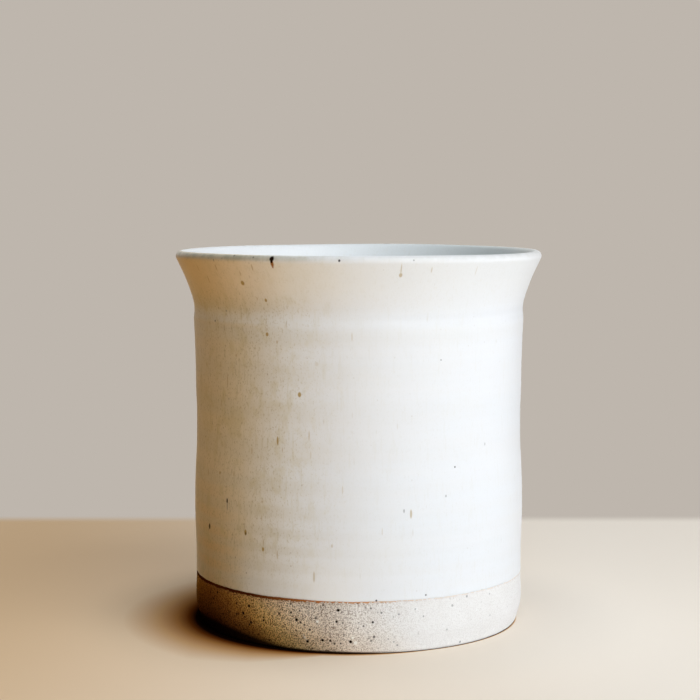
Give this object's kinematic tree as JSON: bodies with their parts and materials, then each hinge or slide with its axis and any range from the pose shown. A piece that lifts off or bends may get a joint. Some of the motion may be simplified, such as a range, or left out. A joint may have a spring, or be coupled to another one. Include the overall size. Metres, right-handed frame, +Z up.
{
  "type": "utensil crock",
  "caption": "Round upright stoneware crock with a straight wall, flared rolled rim and bare clay foot band under a white speckled glaze, for standing kitchen tools in.",
  "frame": {"origin": "middle of the foot's resting plane, on the pot's axis", "axes": "+Z up along the pot's axis; the pot is round, and the camera of the picture stands on its -Y side with +X to the right"},
  "size_m": [0.1624, 0.1624, 0.165],
  "materials": {
    "bare_clay": "unglazed sandy grey-beige stoneware with fine grog, pits and iron specks, matte",
    "white_glaze": "warm white satin-gloss glaze with iron specks and soft throwing bands, toasted at its lower edge"
  },
  "bodies": {
    "root": {"clay_body": "bare_clay", "glaze_coat": "white_glaze"}
  },
  "joints": []
}
